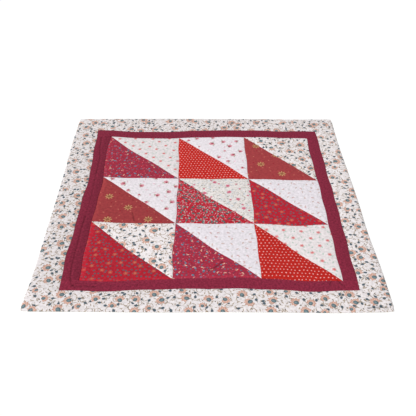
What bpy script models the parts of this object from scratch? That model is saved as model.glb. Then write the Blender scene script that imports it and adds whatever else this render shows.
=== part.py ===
"""Quilted table topper: nine half-square-triangle blocks, a plain inner border and a printed outer one.

Metres, +Z up. The topper lies flat, its back edge is towards +Y, and the origin is on the surface that
it lies on, under the middle of its box. Every cut piece of the pieced top is one solid, with the
wadding and backing below it, and the channels between the solids are the seams that are stitched
through. Places on the pattern are counted in drafting cells, u to the right and v to the back, from
the front-left corner.
"""

import math
from collections import namedtuple
from itertools import accumulate

import bmesh
import bpy
from mathutils import Vector

# Driving sizes: the pattern is drafted on a 3/4 inch cell, which makes a 36 inch topper
CELL = 0.01905
BLOCK_CELLS = 12
INNER_CELLS = 2
OUTER_CELLS = 4
BLOCKS = 3

GAP = 0.0003
SEAM_THICKNESS = 0.0030
EDGE_THICKNESS = 0.0020
PUFF = 0.0020
PUFF_RUN = 0.011
EDGE_RUN = 0.006
NEAR_SEAM_CELLS = 0.35

RIPPLE = 0.0004
RIPPLE_LENGTH = 0.31
WANDER = 0.0010
WANDER_LENGTH = 0.13
CORNER_ROUND = 0.0025
CORNER_CELLS = 1.0
MILLIMETRE = 0.001

STRIPS = (OUTER_CELLS, INNER_CELLS) + (BLOCK_CELLS,) * BLOCKS + (INNER_CELLS, OUTER_CELLS)
LINES = (0,) + tuple(accumulate(STRIPS))
SIDE_CELLS = LINES[-1]
FIRST_BLOCK_LINE = 2

# How far each sewn line lies off its drafted place, in mm, at seven even stations along it
Line = namedtuple("Line", "name start sixth third half two_thirds five_sixths end")

# Lines that run from back to front, listed from the left: positive is to the right
LINES_TO_FRONT = (
    Line("left edge", -6, -6, -1, 2, 3, 5, 1),
    Line("left outer seam", -4, 0, 8, 5, 6, 3, 9),
    Line("left inner seam", 8, 6, 15, 14, 12, 11, 15),
    Line("first block seam", 17, 22, 25, 25, 26, 23, 26),
    Line("second block seam", 14, 16, 19, 23, 24, 26, 28),
    Line("right inner seam", 4, 4, 6, 8, 7, 8, 8),
    Line("right outer seam", 2, 5, 5, 8, 7, 7, 8),
    Line("right edge", -4, -6, -3, -1, -2, 3, 3),
)

# Lines that run from left to right, listed from the front: positive is to the back
LINES_TO_RIGHT = (
    Line("front edge", -1, -2, -4, -3, -4, -6, -3),
    Line("front outer seam", -10, -12, -5, -4, -5, -14, -8),
    Line("front inner seam", -15, -15, -8, -5, -5, -15, -15),
    Line("front block seam", -8, -15, -15, -17, -16, -25, -22),
    Line("back block seam", -18, -23, -25, -28, -27, -33, -36),
    Line("back inner seam", -7, -17, -16, -9, -9, -12, -19),
    Line("back outer seam", 0, -12, -10, -2, -2, -8, -9),
    Line("back edge", 1, 3, 4, 2, 2, -2, 0),
)

# How far each block's diagonal seam bows to its light side, in mm, from the back row to the front
Bows = namedtuple("Bows", "row left middle right")
DIAGONAL_BOWS = (
    Bows(1, 2, 1, 0),
    Bows(2, 3, 0, 1),
    Bows(3, 1, -1, -1),
)

# The cotton prints, with the colour that each one makes from a distance
Fabric = namedtuple("Fabric", "name red green blue")
FABRICS = (
    Fabric("burgundy_floral", 0.37, 0.03, 0.07),
    Fabric("red_pin_dot", 0.58, 0.04, 0.03),
    Fabric("rust_star_flower", 0.36, 0.05, 0.05),
    Fabric("red_leaf", 0.42, 0.05, 0.07),
    Fabric("crimson_dot", 0.48, 0.03, 0.06),
    Fabric("ivory_floret", 0.80, 0.74, 0.70),
    Fabric("white_rosebud", 0.82, 0.76, 0.78),
    Fabric("border_floral", 0.76, 0.69, 0.65),
    Fabric("ivory_vine", 0.76, 0.71, 0.67),
    Fabric("lilac_sprig", 0.80, 0.76, 0.81),
    Fabric("maroon_plain", 0.23, 0.02, 0.05),
)
COTTON_ROUGHNESS = 0.85

# The two triangles of each block: dark to the front left, light to the back right
Block = namedtuple("Block", "row column dark light")
BLOCK_FABRICS = (
    Block(1, 1, "burgundy_floral", "ivory_floret"),
    Block(1, 2, "red_pin_dot", "white_rosebud"),
    Block(1, 3, "rust_star_flower", "border_floral"),
    Block(2, 1, "rust_star_flower", "white_rosebud"),
    Block(2, 2, "red_leaf", "ivory_vine"),
    Block(2, 3, "crimson_dot", "lilac_sprig"),
    Block(3, 1, "crimson_dot", "border_floral"),
    Block(3, 2, "burgundy_floral", "lilac_sprig"),
    Block(3, 3, "red_pin_dot", "ivory_floret"),
)

# A piece on the pattern: its low corner and size in cells, and which half of it is kept
Piece = namedtuple("Piece", "name fabric u v width depth half")

TOPPER_NAME = "quilted_table_topper"


def mix(low, high, share):
    return low + (high - low) * share


def smooth_between(values, share):
    """The height at share, from 0 to 1, of a smooth curve through evenly spaced values."""
    last = len(values) - 1
    place = min(max(share, 0.0), 1.0) * last
    index = min(int(place), last - 1)
    along = place - index
    before = values[max(index - 1, 0)]
    low = values[index]
    high = values[index + 1]
    after = values[min(index + 2, last)]
    slope_low = (high - before) / 2
    slope_high = (after - low) / 2
    bend = 3 * (high - low) - 2 * slope_low - slope_high
    twist = 2 * (low - high) + slope_low + slope_high
    return low + slope_low * along + bend * along ** 2 + twist * along ** 3


def line_drift(rows, index, place, to_front):
    """How far line number index lies off its drafted place, beside the given place along it."""
    ring = min(index, len(LINES) - 1 - index, FIRST_BLOCK_LINE)
    low = LINES[ring]
    high = LINES[-1 - ring]
    share = (place - low) / (high - low)
    if to_front:
        share = 1.0 - share
    return smooth_between(rows[index][1:], share) * MILLIMETRE


def cell_of(place):
    """Which strip of the pattern a place lies in, and how far through that strip."""
    index = max(i for i in range(len(STRIPS)) if LINES[i] <= max(place, 0.0))
    return index, (place - LINES[index]) / STRIPS[index]


def diagonal_bow(column, row, across, along):
    """The shift of a place in a block towards its light side, none at the block's own sides."""
    off_diagonal = abs(across + along - 1.0)
    room = 1.0 - off_diagonal
    if room <= 0.0:
        return 0.0
    share = ((across - along + 1.0) / 2 - off_diagonal / 2) / room
    bows = DIAGONAL_BOWS[BLOCKS - 1 - row]
    return bows[1 + column] * MILLIMETRE * room * math.sin(math.pi * min(max(share, 0.0), 1.0))


def wander(u, v):
    """The small sideways swing that hand-guided seams have."""
    turn = 2 * math.pi * CELL / WANDER_LENGTH
    inside = min(1.0, min(u, v, SIDE_CELLS - u, SIDE_CELLS - v) / OUTER_CELLS)
    swing_x = math.sin(turn * v + 0.9) + 0.5 * math.sin(0.53 * turn * v + 0.31 * turn * u)
    swing_y = math.sin(turn * u + 2.1) + 0.5 * math.sin(0.61 * turn * u - 0.27 * turn * v + 1.0)
    return Vector((swing_x, swing_y)) * WANDER * max(inside, 0.0)


def corner_pull(u, v):
    """Draws the topper's four corners in a little, so that they are rounded."""
    from_side_u = min(u, SIDE_CELLS - u)
    from_side_v = min(v, SIDE_CELLS - v)
    share = max(0.0, 1.0 - (from_side_u + from_side_v) / CORNER_CELLS)
    inward = Vector((1.0 if u < SIDE_CELLS / 2 else -1.0, 1.0 if v < SIDE_CELLS / 2 else -1.0))
    return inward * CORNER_ROUND * share


def laid(u, v):
    """Where a place on the drafted pattern lies on the finished topper, seen from above."""
    column, across = cell_of(u)
    row, along = cell_of(v)
    drift_x = mix(line_drift(LINES_TO_FRONT, column, v, True),
                  line_drift(LINES_TO_FRONT, column + 1, v, True), across)
    drift_y = mix(line_drift(LINES_TO_RIGHT, row, u, False),
                  line_drift(LINES_TO_RIGHT, row + 1, u, False), along)
    place = Vector(((u - SIDE_CELLS / 2) * CELL + drift_x, (v - SIDE_CELLS / 2) * CELL + drift_y))
    block_column = column - FIRST_BLOCK_LINE
    block_row = row - FIRST_BLOCK_LINE
    if 0 <= block_column < BLOCKS and 0 <= block_row < BLOCKS:
        bow = diagonal_bow(block_column, block_row, across, along)
        place += Vector((bow, bow)) / math.sqrt(2)
    return place + wander(u, v) + corner_pull(u, v)


def box_middle():
    """The middle of the laid outline's box."""
    steps = [SIDE_CELLS * i / 480 for i in range(481)]
    outline = [laid(s, 0) for s in steps] + [laid(s, SIDE_CELLS) for s in steps]
    outline += [laid(0, s) for s in steps] + [laid(SIDE_CELLS, s) for s in steps]
    low = Vector((min(p.x for p in outline), min(p.y for p in outline)))
    high = Vector((max(p.x for p in outline), max(p.y for p in outline)))
    return (low + high) / 2


def seam_distance(piece, a, b):
    """The distance in metres from a place in a piece to the nearest seam or edge round it."""
    sides = [a, piece.width - a, b, piece.depth - b]
    if piece.half == "dark":
        sides = [a, b, (piece.width - a - b) / math.sqrt(2)]
    if piece.half == "light":
        sides = [piece.width - a, piece.depth - b, (a + b - piece.width) / math.sqrt(2)]
    return max(min(sides), 0.0) * CELL


def thickness(piece, a, b):
    """How high the quilt stands at a place in a piece: drawn down at its seams, full between them."""
    u = piece.u + a
    v = piece.v + b
    x = u * CELL
    y = v * CELL
    full = 1.0 - math.exp(-seam_distance(piece, a, b) / PUFF_RUN)
    turn = 2 * math.pi / RIPPLE_LENGTH
    ripple = math.sin(turn * x + 1.3 * math.sin(turn * y)) + math.sin(1.37 * turn * y - 0.6 * turn * x)
    height = SEAM_THICKNESS + PUFF * full + RIPPLE * full * ripple
    from_edge = max(min(u, v, SIDE_CELLS - u, SIDE_CELLS - v), 0.0) * CELL
    return mix(EDGE_THICKNESS, height, 1.0 - math.exp(-from_edge / EDGE_RUN))


def grid_places(cells):
    """The grid lines across a piece: one a cell, and one close beside each seam."""
    return [0.0, NEAR_SEAM_CELLS] + list(range(1, cells)) + [cells - NEAR_SEAM_CELLS, float(cells)]


def flat_piece(piece):
    """The cut outline of a piece as a flat grid, in cells from the piece's own corner."""
    across = grid_places(piece.width)
    along = grid_places(piece.depth)
    columns = len(across) - 1
    rows = len(along) - 1
    flat = bmesh.new()
    bmesh.ops.create_grid(flat, x_segments=columns, y_segments=rows, size=0.5)
    for vert in flat.verts:
        column = round((vert.co.x + 0.5) * columns)
        row = round((vert.co.y + 0.5) * rows)
        vert.co = (across[column], along[row], 0.0)
    if piece.half != "whole":
        geometry = flat.verts[:] + flat.edges[:] + flat.faces[:]
        bmesh.ops.bisect_plane(
            flat, geom=geometry, dist=1e-4,
            plane_co=(piece.width, 0.0, 0.0), plane_no=(1.0, 1.0, 0.0),
            clear_outer=piece.half == "dark", clear_inner=piece.half == "light")
    return flat


def trimmed(piece, a, b):
    """A place in a piece, drawn in so that the piece stops half a gap short of each seam line."""
    trim = GAP / 2 / CELL
    if piece.half == "whole":
        middle = Vector((piece.width / 2, piece.depth / 2))
        shrink = Vector((1 - trim / middle.x, 1 - trim / middle.y))
    else:
        inner_radius = piece.width * (1 - 1 / math.sqrt(2))
        centre = inner_radius if piece.half == "dark" else piece.width - inner_radius
        middle = Vector((centre, centre))
        shrink = Vector((1 - trim / inner_radius, 1 - trim / inner_radius))
    return middle.x + (a - middle.x) * shrink.x, middle.y + (b - middle.y) * shrink.y


def quilted_mesh(piece, centre, middle):
    """The closed solid of one piece: flat below, drawn down at its seams above."""
    solid = flat_piece(piece)
    upper = solid.verts[:]
    surface = solid.faces[:]
    for vert in upper:
        a, b = trimmed(piece, vert.co.x, vert.co.y)
        place = laid(piece.u + a, piece.v + b) - middle - centre
        vert.co = (place.x, place.y, thickness(piece, a, b))

    copied = bmesh.ops.extrude_face_region(solid, geom=surface)["geom"]
    lower = [item for item in copied if isinstance(item, bmesh.types.BMVert)]
    underside = [item for item in copied if isinstance(item, bmesh.types.BMFace)]
    for vert in lower:
        vert.co.z = 0.0
    bmesh.ops.dissolve_faces(solid, faces=underside)
    bmesh.ops.recalc_face_normals(solid, faces=solid.faces[:])

    mesh = bpy.data.meshes.new(piece.name)
    solid.to_mesh(mesh)
    solid.free()
    return mesh


def cotton(fabric):
    """The finish of one cotton fabric."""
    material = bpy.data.materials.new(fabric.name)
    material.use_nodes = True
    shader = material.node_tree.nodes["Principled BSDF"]
    shader.inputs["Base Color"].default_value = (fabric.red, fabric.green, fabric.blue, 1.0)
    shader.inputs["Roughness"].default_value = COTTON_ROUGHNESS
    shader.inputs["Metallic"].default_value = 0.0
    return material


def block_pieces():
    """The eighteen triangles, two to a block."""
    pieces = []
    for block in BLOCK_FABRICS:
        u = LINES[FIRST_BLOCK_LINE + block.column - 1]
        v = LINES[FIRST_BLOCK_LINE + BLOCKS - block.row]
        name = f"patch_r{block.row}c{block.column}"
        pieces.append(Piece(f"{name}_dark", block.dark, u, v, BLOCK_CELLS, BLOCK_CELLS, "dark"))
        pieces.append(Piece(f"{name}_light", block.light, u, v, BLOCK_CELLS, BLOCK_CELLS, "light"))
    return pieces


def border_pieces(name, fabric, start, width):
    """Four strips round a square: the back and front ones run past the ends of the side ones."""
    stop = SIDE_CELLS - start - width
    full = SIDE_CELLS - 2 * start
    short = full - 2 * width
    return [
        Piece(f"{name}_back", fabric, start, stop, full, width, "whole"),
        Piece(f"{name}_front", fabric, start, start, full, width, "whole"),
        Piece(f"{name}_left", fabric, start, start + width, width, short, "whole"),
        Piece(f"{name}_right", fabric, stop, start + width, width, short, "whole"),
    ]


def piece_centre(piece, middle):
    """The point on the surface that a piece's object is placed by."""
    return laid(piece.u + piece.width / 2, piece.v + piece.depth / 2) - middle


def build():
    for thing in list(bpy.data.objects):
        bpy.data.objects.remove(thing, do_unlink=True)

    collection = bpy.data.collections.new(TOPPER_NAME)
    bpy.context.scene.collection.children.link(collection)
    topper = bpy.data.objects.new(TOPPER_NAME, None)
    collection.objects.link(topper)

    finishes = {fabric.name: cotton(fabric) for fabric in FABRICS}
    pieces = block_pieces()
    pieces += border_pieces("inner_border", "maroon_plain", OUTER_CELLS, INNER_CELLS)
    pieces += border_pieces("outer_border", "border_floral", 0, OUTER_CELLS)

    middle = box_middle()
    for piece in pieces:
        centre = piece_centre(piece, middle)
        mesh = quilted_mesh(piece, centre, middle)
        mesh.materials.append(finishes[piece.fabric])
        solid = bpy.data.objects.new(piece.name, mesh)
        collection.objects.link(solid)
        solid.parent = topper
        solid.location = (centre.x, centre.y, 0.0)


build()
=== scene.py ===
"""Looks of the quilted table topper: its quilted surface, its cotton prints and the studio.

Metres, +Z up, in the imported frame. Every cut piece of the frame is replaced by a finer piece of the
same cloth, laid out by the same pattern: places are counted in drafting cells, u to the right and v
to the back, from the front-left corner.
"""

import itertools
import math
from collections import namedtuple

import bmesh
import bpy
import numpy as np
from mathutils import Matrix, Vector


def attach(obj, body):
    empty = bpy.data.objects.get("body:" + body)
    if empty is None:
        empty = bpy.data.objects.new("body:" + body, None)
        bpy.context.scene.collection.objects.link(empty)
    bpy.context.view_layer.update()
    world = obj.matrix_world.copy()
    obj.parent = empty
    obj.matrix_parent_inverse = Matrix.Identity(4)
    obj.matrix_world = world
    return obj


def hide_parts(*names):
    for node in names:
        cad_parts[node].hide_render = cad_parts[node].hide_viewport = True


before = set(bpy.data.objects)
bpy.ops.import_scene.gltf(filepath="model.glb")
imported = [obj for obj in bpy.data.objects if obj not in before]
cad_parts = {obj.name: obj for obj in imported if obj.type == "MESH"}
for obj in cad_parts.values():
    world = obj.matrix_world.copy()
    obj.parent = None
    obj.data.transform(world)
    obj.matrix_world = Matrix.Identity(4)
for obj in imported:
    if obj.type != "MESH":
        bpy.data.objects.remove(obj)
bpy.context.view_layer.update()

MILLIMETRE = 0.001

# The pattern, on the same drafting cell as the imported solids
CELL = 0.01905
BLOCK_CELLS = 12
INNER_CELLS = 2
OUTER_CELLS = 4
BLOCKS = 3
STRIPS = (OUTER_CELLS, INNER_CELLS) + (BLOCK_CELLS,) * BLOCKS + (INNER_CELLS, OUTER_CELLS)
LINES = (0,) + tuple(itertools.accumulate(STRIPS))
SIDE_CELLS = LINES[-1]
FIRST_BLOCK_LINE = 2

# The quilted section: thickness at the seams, at the outer edge and between them
SEAM_THICKNESS = 0.0030
EDGE_THICKNESS = 0.0020
PUFF = 0.0020
PUFF_RUN = 0.011
EDGE_RUN = 0.006
OUTLINE_STEPS = 481
RIPPLE = 0.0004
RIPPLE_LENGTH = 0.31
WANDER = 0.0010
WANDER_LENGTH = 0.13
CORNER_ROUND = 0.0025
CORNER_CELLS = 1.0

# The fine relief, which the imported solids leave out
GRID = 0.0024
SEAM_STEPS = (0.00015, 0.0005, 0.0010, 0.0017)
SEEN_GAP = 0.0001
DITCH = 0.0008
DITCH_RUN = 0.0010
EDGE_ROLL = 0.0017
PUCKER = 0.00036
PUCKER_RUN = 0.0075
PUCKER_LENGTH = 0.0105
CRUMPLE = 0.00050
CRUMPLE_LENGTH = 0.034
UNDER_DITCH = 0.0005
UNDER_RUN = 0.003
UNDER_EDGE = 0.97
JOIN_STRENGTH = 0.15
JOIN_FADE_CELLS = 0.4

# How far each sewn line lies off its drafted place, in mm, at seven even stations along it
Line = namedtuple("Line", "name start sixth third half two_thirds five_sixths end")

# Lines that run from back to front, listed from the left: positive is to the right
LINES_TO_FRONT = (
    Line("left edge", -6, -6, -1, 2, 3, 5, 1),
    Line("left outer seam", -4, 0, 8, 5, 6, 3, 9),
    Line("left inner seam", 8, 6, 15, 14, 12, 11, 15),
    Line("first block seam", 17, 22, 25, 25, 26, 23, 26),
    Line("second block seam", 14, 16, 19, 23, 24, 26, 28),
    Line("right inner seam", 4, 4, 6, 8, 7, 8, 8),
    Line("right outer seam", 2, 5, 5, 8, 7, 7, 8),
    Line("right edge", -4, -6, -3, -1, -2, 3, 3),
)

# Lines that run from left to right, listed from the front: positive is to the back
LINES_TO_RIGHT = (
    Line("front edge", -1, -2, -4, -3, -4, -6, -3),
    Line("front outer seam", -10, -12, -5, -4, -5, -14, -8),
    Line("front inner seam", -15, -15, -8, -5, -5, -15, -15),
    Line("front block seam", -8, -15, -15, -17, -16, -25, -22),
    Line("back block seam", -18, -23, -25, -28, -27, -33, -36),
    Line("back inner seam", -7, -17, -16, -9, -9, -12, -19),
    Line("back outer seam", 0, -12, -10, -2, -2, -8, -9),
    Line("back edge", 1, 3, 4, 2, 2, -2, 0),
)

# How far each block's diagonal seam bows to its light side, in mm, from the back row to the front
Bows = namedtuple("Bows", "row left middle right")
DIAGONAL_BOWS = (
    Bows(1, 2, 1, 0),
    Bows(2, 3, 0, 1),
    Bows(3, 1, -1, -1),
)

# The two triangles of each block: dark to the front left, light to the back right
Block = namedtuple("Block", "row column dark light")
BLOCK_FABRICS = (
    Block(1, 1, "burgundy_floral", "ivory_floret"),
    Block(1, 2, "red_pin_dot", "white_rosebud"),
    Block(1, 3, "rust_star_flower", "border_floral"),
    Block(2, 1, "rust_star_flower", "white_rosebud"),
    Block(2, 2, "red_leaf", "ivory_vine"),
    Block(2, 3, "crimson_dot", "lilac_sprig"),
    Block(3, 1, "crimson_dot", "border_floral"),
    Block(3, 2, "burgundy_floral", "lilac_sprig"),
    Block(3, 3, "red_pin_dot", "ivory_floret"),
)

# A piece on the pattern: its low corner and size in cells, and which half of it is kept
Piece = namedtuple("Piece", "name fabric u v width depth half")

# A side of a piece: a point on it and the direction into the piece, in cells
Side = namedtuple("Side", "name point inward")

# Seam allowances that are pressed under a piece and show as a raised band along one of its sides:
# its width in mm, how much painted light brightens the raised band, and how much of the print has worn off
Lap = namedtuple("Lap", "name side width light worn")
LAPS = (
    Lap("patch_r1c1_dark", "left", 10.0, 1.06, 0.3),
    Lap("patch_r2c1_dark", "left", 11.5, 1.10, 0.5),
    Lap("patch_r3c1_dark", "left", 12.0, 1.14, 0.5),
    Lap("patch_r3c1_dark", "front", 7.0, 1.14, 0.5),
    Lap("patch_r3c2_dark", "front", 8.0, 1.10, 0.5),
    Lap("inner_border_left", "left", 23.0, 1.08, 0.0),
    Lap("inner_border_front", "back", 9.0, 1.06, 0.0),
)
LAP_RISE = 0.00035
LAP_EDGE = 0.0016
LAP_UNEVEN = 0.12
LAP_UNEVEN_LENGTH = 0.09

# Soft creases: depth below the cloth and half width in mm, the share of the light that is lost in them,
# and their points in mm from the topper's middle
# The light lost in a crease is painted shade, drawn darker into the cloth's colour.
Crease = namedtuple("Crease", "depth half_width dark points")
CREASES = (
    Crease(2.0, 2.8, 0.11, ((-364, 330), (-361, 270), (-352, 205), (-351, 120))),
    Crease(1.2, 2.8, 0.07, ((-351, 120), (-349, 60), (-348, -20), (-351, -100))),
    Crease(
        2.2, 2.9, 0.11,
        ((-351, -100), (-353, -160), (-353, -300), (-350, -340), (-345, -362), (-338, -373))),
    Crease(2.4, 3.2, 0.24, ((-338, -373), (-325, -376), (-283, -377))),
    Crease(1.0, 2.8, 0.10, ((-283, -377), (-240, -376))),
    Crease(2.4, 2.4, 0.40, ((8, -322), (28, -306), (44, -290))),
    Crease(1.8, 2.4, 0.26, ((-215, -83), (-211, -100), (-207, -118))),
    Crease(1.4, 1.8, 0.10, ((-175, -376), (-168, -360))),
    Crease(2.0, 2.2, 0.36, ((338, -352), (349, -371))),
    Crease(1.5, 2.0, 0.32, ((317, -371), (322, -358))),
    Crease(2.2, 2.6, 0.48, ((398, -448), (432, -446), (446, -447))),
    Crease(1.0, 4.5, 0.07, ((392, -384), (412, -404), (436, -418))),
    Crease(-0.8, 5.0, 0.00, ((402, -372), (424, -396))),
    Crease(0.9, 4.0, 0.06, ((-322, -40), (-290, -75), (-262, -86))),
    Crease(0.8, 4.0, 0.06, ((160, 150), (172, 110), (168, 88))),
)

# The mesh is cut finer beside creases narrower than this, in mm, and as near to them as this, in metres
SOFT_HALF_WIDTH = 3.0
FINER_REACH = 0.0058

# Where a piece was cut from its cloth: how far its print is moved, in mm, and turned, in degrees
Cut = namedtuple("Cut", "x y turn")
CUTS = {
    "patch_r1c2_dark": Cut(0, 0, 4.6),
    "patch_r3c3_dark": Cut(0, 0, -2.9),
    "patch_r1c3_dark": Cut(-45, 9, 0),
    "patch_r1c1_light": Cut(-165.8, 240.8, 82),
    "patch_r3c3_light": Cut(253.8, -169.3, -6.2),
    "outer_border_left": Cut(30, 60, 90),
    "outer_border_right": Cut(-20, 35, 90),
    "patch_r3c1_light": Cut(15, 40, 12),
}
UNCUT = Cut(0, 0, 0)

# Where a print's larger motifs lie, in mm from the topper's middle, how far each is turned, in degrees,
# and its share of the usual size where that isn't 1
Motif = namedtuple("Motif", "x y turn size", defaults=(1,))
ROSES = (
    (-295, 87, 0, 0.9), (-260, 60, 180, 1.1), (-241, 27, 190, 0.8), (-200, 50, -10), (-205, 4, 200, 0.6),
    (-179, -32, 270, 0.8), (-159, 90, 60, 0.8), (-126, 70, 80), (-148, 2, 25), (-114, 19, -15),
    (-102, -32, -10), (-117, -65, -40, 0.9), (-94, 47, 0, 0.9), (-156, -63, 0, 0.6), (18, 289, 180, 1.15),
    (59, 302, -10), (102, 305, 150, 0.9), (80, 275, 10, 1.1), (115, 243, 0, 0.95), (88, 221, 170, 1.05),
    (62, 245, 90, 0.6), (43, 209, 0, 0.9), (23, 329, 0, 0.9), (-62, 312, 90, 0.8), (-32, 323, 0, 0.9),
    (-24, 273, 0, 0.5), (71, 185, 150, 0.85), (117, 147, 215, 0.8),
)
FLOWERS = (
    (-447, -442, 90), (-426, -455, 45, 0.9), (-362, -405, 170), (-341, -425, 200), (-362, -452, 150),
    (-284, -393, 320, 0.8), (-274, -419, 120, 0.9), (-214, -422, 130), (-230, -441, 90, 0.8),
    (-174, -421, 60, 0.9), (-129, -404, 110), (-111, -424, 200), (-60, -391, 330, 0.8), (-49, -417, 150),
    (7, -421, 120), (-8, -442, 90, 0.7), (-174, -459, 90, 0.9), (-42, -459, 90, 0.9),
    (-140, -450, 180, 0.7), (-314, -444, 180, 0.7), (-429, -391, 200, 0.7), (-402, -419, 20, 0.8),
    (49, -423, 330, 0.9), (91, -405, 90), (108, -430, 220), (160, -398, 320, 0.9), (167, -425, 150),
    (203, -395, 0, 0.8), (222, -431, 150), (260, -434, 60, 0.9), (297, -418, 110, 0.9), (314, -440, 120),
    (360, -405, 80), (369, -430, 150), (419, -430, 130), (42, -458, 100), (160, -458, 60), (244, -458, 120),
    (357, -453, 20, 0.7), (450, -386, 90, 0.8), (455, -402, 180, 0.8), (290, -462, 90, 0.7),
    (-294, -146, 80), (-237, -138, 270), (-191, -131, 250), (-147, -161, 160), (-165, -202, 190),
    (-135, -231, 280), (-141, -285, 180), (-116, -307, 80, 0.9), (-231, -219, 60, 0.9),
    (-93, -178, 180, 0.8), (-90, -225, 180, 0.8), (-90, -287, 180, 0.8), (-200, -246, 70, 0.7),
    (-449, -34, 60, 0.8), (-433, -39, 330, 0.9), (-379, -37, 170), (-437, -75, 90, 0.6), (-375, -76, 180),
    (-417, -100, 150), (-378, -136, 190), (-411, -146, 110), (-377, -192, 170), (-399, -216, 200),
    (-444, -242, 80), (-431, -256, 60, 0.6), (-381, -254, 150, 0.9), (-379, -292, 180), (-417, -310, 180),
    (-404, -356, 120), (-376, -346, 240, 0.9), (-391, 0, 190, 0.9), (-376, 20, 180, 0.7),
    (-434, 30, 90, 0.7), (-421, 344, 170), (-385, 367, 180, 0.7), (-410, 293, 130), (-382, 311, 210, 0.9),
    (-440, 257, 90, 0.6), (-385, 245, 180, 0.8), (-399, 224, 180, 0.8), (-436, 186, 340, 0.9),
    (-451, 177, 70, 0.9), (-381, 189, 160, 0.9), (-375, 149, 180), (-416, 124, 160), (-405, 74, 150),
    (-374, 85, 230), (426, -27, 300), (396, -42, 0), (417, -67, 240, 0.8), (446, -4, 60, 0.9),
    (450, 27, 180, 0.9), (401, -119, 80, 0.9), (434, -144, 160, 0.9), (449, -170, 180, 0.9),
    (451, -72, 90, 0.7), (424, -240, 0), (394, -254, 330), (414, -273, 230, 0.9), (452, -269, 120, 0.9),
    (397, -327, 100, 0.9), (434, -344, 170), (454, -357, 200, 0.9), (391, -205, 0, 0.6),
    (447, -198, 90, 0.6), (393, 12, 0, 0.7), (426, 182, 0, 1.1), (394, 171, 340), (416, 149, 250, 0.8),
    (399, 332, 100, 0.9), (432, 297, 100, 0.6), (445, 239, 100, 0.9), (445, 207, 180, 0.8),
    (435, 69, 160, 0.9), (400, 95, 110, 0.9), (445, 352, 90, 0.7), (391, 230, 0, 0.7), (449, 130, 90, 0.6),
)

# The pieces that a chart of motifs lies on, and how far from its middle a motif may be drawn
Chart = namedtuple("Chart", "pieces motifs reach")
CHARTS = (
    Chart(("patch_r1c2_light", "patch_r2c1_light"), ROSES, 0.014),
    Chart(
        ("outer_border_front", "outer_border_left", "outer_border_right", "patch_r3c1_light"),
        FLOWERS, 0.018),
)

# Two motifs that touch are parted by this, so that no cell of the mesh holds both
MOTIFS_APART = 0.007

# How much lighter or darker each piece is drawn than the rest of its kind
SHADES = {
    "patch_r1c1_light": 0.97,
    "patch_r1c2_dark": 1.03,
    "patch_r3c2_dark": 1.06,
    "patch_r3c3_dark": 0.96,
    "patch_r1c3_dark": 1.06,
    "patch_r2c3_dark": 1.05,
    "patch_r3c1_light": 1.065,
    "patch_r3c2_light": 1.02,
    "outer_border_back": 0.96,
    "outer_border_left": 0.955,
    "inner_border_front": 1.08,
    "inner_border_left": 0.90,
}


def smooth_between(values, share):
    """The heights at the shares, from 0 to 1, of a smooth curve through evenly spaced values."""
    values = np.array(values, dtype=float)
    last = len(values) - 1
    place = np.clip(share, 0.0, 1.0) * last
    index = np.minimum(place.astype(int), last - 1)
    along = place - index
    before = values[np.maximum(index - 1, 0)]
    low = values[index]
    high = values[index + 1]
    after = values[np.minimum(index + 2, last)]
    slope_low = (high - before) / 2
    slope_high = (after - low) / 2
    bend = 3 * (high - low) - 2 * slope_low - slope_high
    twist = 2 * (low - high) + slope_low + slope_high
    return low + slope_low * along + bend * along ** 2 + twist * along ** 3


def line_drift(rows, index, place, to_front):
    """How far the lines of these numbers lie off their drafted places, beside each place along them."""
    drift = np.zeros_like(place)
    for line, row in enumerate(rows):
        here = index == line
        ring = min(line, len(LINES) - 1 - line, FIRST_BLOCK_LINE)
        low = LINES[ring]
        high = LINES[-1 - ring]
        share = (place[here] - low) / (high - low)
        if to_front:
            share = 1.0 - share
        drift[here] = smooth_between(row[1:], share)
    return drift * MILLIMETRE


def cell_of(place):
    """Which strip of the pattern each place lies in, and how far through that strip."""
    index = np.searchsorted(LINES, place, side="right") - 1
    index = np.clip(index, 0, len(STRIPS) - 1)
    return index, (place - np.array(LINES)[index]) / np.array(STRIPS)[index]


def diagonal_bow(column, row, across, along):
    """The shift of places in a block towards its light side, none at the block's own sides."""
    off_diagonal = np.abs(across + along - 1.0)
    room = np.maximum(1.0 - off_diagonal, 1e-9)
    share = ((across - along + 1.0) / 2 - off_diagonal / 2) / room
    bows = np.array([rows[1:] for rows in DIAGONAL_BOWS]) * MILLIMETRE
    in_block = (column >= 0) & (column < BLOCKS) & (row >= 0) & (row < BLOCKS)
    column = np.clip(column, 0, BLOCKS - 1)
    row = np.clip(row, 0, BLOCKS - 1)
    bow = bows[BLOCKS - 1 - row, column] * room * np.sin(np.pi * np.clip(share, 0.0, 1.0))
    return np.where(in_block, bow, 0.0)


def from_rim(u, v):
    """How far places are from the topper's nearest edge, in cells."""
    return np.minimum(np.minimum(u, SIDE_CELLS - u), np.minimum(v, SIDE_CELLS - v))


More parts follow.
